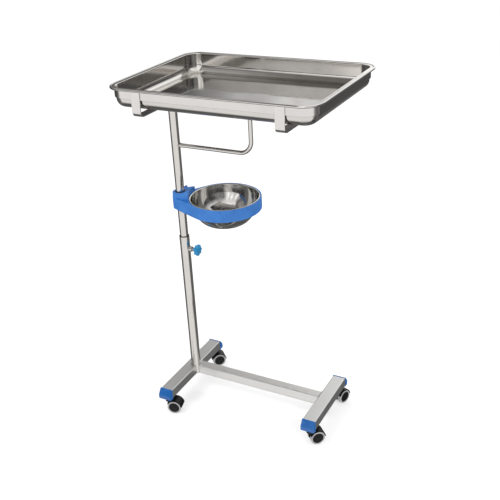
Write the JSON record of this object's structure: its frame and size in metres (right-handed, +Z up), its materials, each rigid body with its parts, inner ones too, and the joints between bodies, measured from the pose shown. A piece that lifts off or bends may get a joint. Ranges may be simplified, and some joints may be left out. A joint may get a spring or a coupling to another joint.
{
  "type": "instrument stand",
  "caption": "Wheeled stand for a veterinary clinic: H-shaped base, telescoping column, lift-out tray in a strap cradle, and a steel bowl in a plastic ring clamped to the column.",
  "frame": {"origin": "on the floor, under the middle of the tray", "axes": "+Z up, +X from the column towards the free end of the tray, -Y towards the user"},
  "size_m": [0.59, 0.43, 1.043],
  "materials": {
    "polished_steel": "mirror-polished stainless steel",
    "brushed_steel": "satin stainless steel, brushed along the bar",
    "blue_cap_plastic": "moulded polyethylene, slight sheen",
    "blue_ring_plastic": "moulded nylon, satin",
    "blue_knob_plastic": "moulded polypropylene, semi-gloss",
    "black_nylon": "moulded nylon, fine spark texture",
    "grey_tread_rubber": "soft grey tread, matt",
    "dark_bush_nylon": "turned nylon, matt",
    "zinc_plated_steel": "bright zinc plate"
  },
  "bodies": {
    "base": {"left_crossbar": "brushed_steel", "right_crossbar": "brushed_steel", "spine_bar": "brushed_steel", "cap_left_near": "blue_cap_plastic", "cap_left_far": "blue_cap_plastic", "cap_right_near": "blue_cap_plastic", "cap_right_far": "blue_cap_plastic", "socket_left_near": "zinc_plated_steel", "socket_left_far": "zinc_plated_steel", "socket_right_near": "zinc_plated_steel", "socket_right_far": "zinc_plated_steel", "column_tube": "polished_steel", "lock_boss": "polished_steel", "guide_bush": "dark_bush_nylon"},
    "swivel_left_near": {"stem_left_near": "zinc_plated_steel", "hood_left_near": "black_nylon", "axle_left_near": "zinc_plated_steel"},
    "wheel_left_near_a": {"core_left_near_a": "black_nylon", "tread_left_near_a": "grey_tread_rubber"},
    "wheel_left_near_b": {"core_left_near_b": "black_nylon", "tread_left_near_b": "grey_tread_rubber"},
    "swivel_left_far": {"stem_left_far": "zinc_plated_steel", "hood_left_far": "black_nylon", "axle_left_far": "zinc_plated_steel"},
    "wheel_left_far_a": {"core_left_far_a": "black_nylon", "tread_left_far_a": "grey_tread_rubber"},
    "wheel_left_far_b": {"core_left_far_b": "black_nylon", "tread_left_far_b": "grey_tread_rubber"},
    "swivel_right_near": {"stem_right_near": "zinc_plated_steel", "hood_right_near": "black_nylon", "axle_right_near": "zinc_plated_steel"},
    "wheel_right_near_a": {"core_right_near_a": "black_nylon", "tread_right_near_a": "grey_tread_rubber"},
    "wheel_right_near_b": {"core_right_near_b": "black_nylon", "tread_right_near_b": "grey_tread_rubber"},
    "swivel_right_far": {"stem_right_far": "zinc_plated_steel", "hood_right_far": "black_nylon", "axle_right_far": "zinc_plated_steel"},
    "wheel_right_far_a": {"core_right_far_a": "black_nylon", "tread_right_far_a": "grey_tread_rubber"},
    "wheel_right_far_b": {"core_right_far_b": "black_nylon", "tread_right_far_b": "grey_tread_rubber"},
    "mast_slide": {"guide_plug": "dark_bush_nylon"},
    "mast": {"mast_tube": "polished_steel", "cross_member": "polished_steel", "strap_left": "polished_steel", "strap_right": "polished_steel", "cradle_ring": "polished_steel", "brace_rod": "polished_steel"},
    "tray": {"tray": "polished_steel"},
    "lock_pad": {"lock_pad": "dark_bush_nylon"},
    "lock_screw": {"lock_stud": "zinc_plated_steel", "lock_knob": "blue_knob_plastic"},
    "ring_slide": {"ring_liner": "dark_bush_nylon"},
    "ring_holder": {"ring_holder": "blue_ring_plastic"},
    "clamp_pad": {"clamp_pad": "dark_bush_nylon"},
    "clamp_screw": {"clamp_stud": "zinc_plated_steel", "clamp_knob": "blue_knob_plastic"},
    "bowl": {"bowl": "polished_steel"}
  },
  "joints": [
    {"name": "swivel_left_near", "type": "hinge", "parent": "base", "child": "swivel_left_near", "pos_m": [-0.242, -0.1445, 0.058], "axis": [0, 0, 1], "continuous": true},
    {"name": "roll_left_near_a", "type": "hinge", "parent": "swivel_left_near", "child": "wheel_left_near_a", "pos_m": [-0.22703, -0.14049, 0.0215], "axis": [0.2588, -0.9659, 0], "continuous": true},
    {"name": "roll_left_near_b", "type": "hinge", "parent": "swivel_left_near", "child": "wheel_left_near_b", "pos_m": [-0.22703, -0.14049, 0.0215], "axis": [0.2588, -0.9659, 0], "continuous": true},
    {"name": "swivel_left_far", "type": "hinge", "parent": "base", "child": "swivel_left_far", "pos_m": [-0.242, 0.1285, 0.058], "axis": [0, 0, 1], "continuous": true},
    {"name": "roll_left_far_a", "type": "hinge", "parent": "swivel_left_far", "child": "wheel_left_far_a", "pos_m": [-0.23104, 0.13946, 0.0215], "axis": [0.7071, -0.7071, 0], "continuous": true},
    {"name": "roll_left_far_b", "type": "hinge", "parent": "swivel_left_far", "child": "wheel_left_far_b", "pos_m": [-0.23104, 0.13946, 0.0215], "axis": [0.7071, -0.7071, 0], "continuous": true},
    {"name": "swivel_right_near", "type": "hinge", "parent": "base", "child": "swivel_right_near", "pos_m": [0.22, -0.1065, 0.058], "axis": [0, 0, 1], "continuous": true},
    {"name": "roll_right_near_a", "type": "hinge", "parent": "swivel_right_near", "child": "wheel_right_near_a", "pos_m": [0.23096, -0.09554, 0.0215], "axis": [0.7071, -0.7071, 0], "continuous": true},
    {"name": "roll_right_near_b", "type": "hinge", "parent": "swivel_right_near", "child": "wheel_right_near_b", "pos_m": [0.23096, -0.09554, 0.0215], "axis": [0.7071, -0.7071, 0], "continuous": true},
    {"name": "swivel_right_far", "type": "hinge", "parent": "base", "child": "swivel_right_far", "pos_m": [0.22, 0.1005, 0.058], "axis": [0, 0, 1], "continuous": true},
    {"name": "roll_right_far_a", "type": "hinge", "parent": "swivel_right_far", "child": "wheel_right_far_a", "pos_m": [0.2253, 0.11507, 0.0215], "axis": [0.9397, -0.342, 0], "continuous": true},
    {"name": "roll_right_far_b", "type": "hinge", "parent": "swivel_right_far", "child": "wheel_right_far_b", "pos_m": [0.2253, 0.11507, 0.0215], "axis": [0.9397, -0.342, 0], "continuous": true},
    {"name": "mast_height", "type": "slide", "parent": "base", "child": "mast_slide", "axis": [0, 0, 1], "range_m": [-0.05, 0.14]},
    {"name": "mast_turn", "type": "hinge", "parent": "mast_slide", "child": "mast", "pos_m": [-0.23, 0, 0.488], "axis": [0, 0, 1], "continuous": true},
    {"name": "tray_lift", "type": "slide", "parent": "mast", "child": "tray", "axis": [0, 0, 1], "range_m": [0, 0.08]},
    {"name": "lock_travel", "type": "slide", "parent": "base", "child": "lock_pad", "axis": [1, 0, 0], "range_m": [0, 0.0025]},
    {"name": "lock_turn", "type": "hinge", "parent": "lock_pad", "child": "lock_screw", "pos_m": [-0.23, 0, 0.504], "axis": [1, 0, 0], "range_deg": [0, 720]},
    {"name": "ring_height", "type": "slide", "parent": "mast", "child": "ring_slide", "axis": [0, 0, 1], "range_m": [-0.035, 0.05]},
    {"name": "ring_swing", "type": "hinge", "parent": "ring_slide", "child": "ring_holder", "pos_m": [-0.23, 0, 0.658], "axis": [0, 0, 1], "continuous": true},
    {"name": "clamp_travel", "type": "slide", "parent": "ring_holder", "child": "clamp_pad", "axis": [-0.309, 0.9511, 0], "range_m": [0, 0.0025]},
    {"name": "clamp_turn", "type": "hinge", "parent": "clamp_pad", "child": "clamp_screw", "pos_m": [-0.23, 0, 0.666], "axis": [-0.309, 0.9511, 0], "range_deg": [0, 720]},
    {"name": "bowl_lift", "type": "slide", "parent": "ring_holder", "child": "bowl", "axis": [0, 0, 1], "range_m": [0, 0.09]}
  ],
  "couplings": [
    {"joint": "lock_turn", "follows": "lock_travel", "rad_per_m": 5026.5},
    {"joint": "clamp_turn", "follows": "clamp_travel", "rad_per_m": 5026.5}
  ]
}
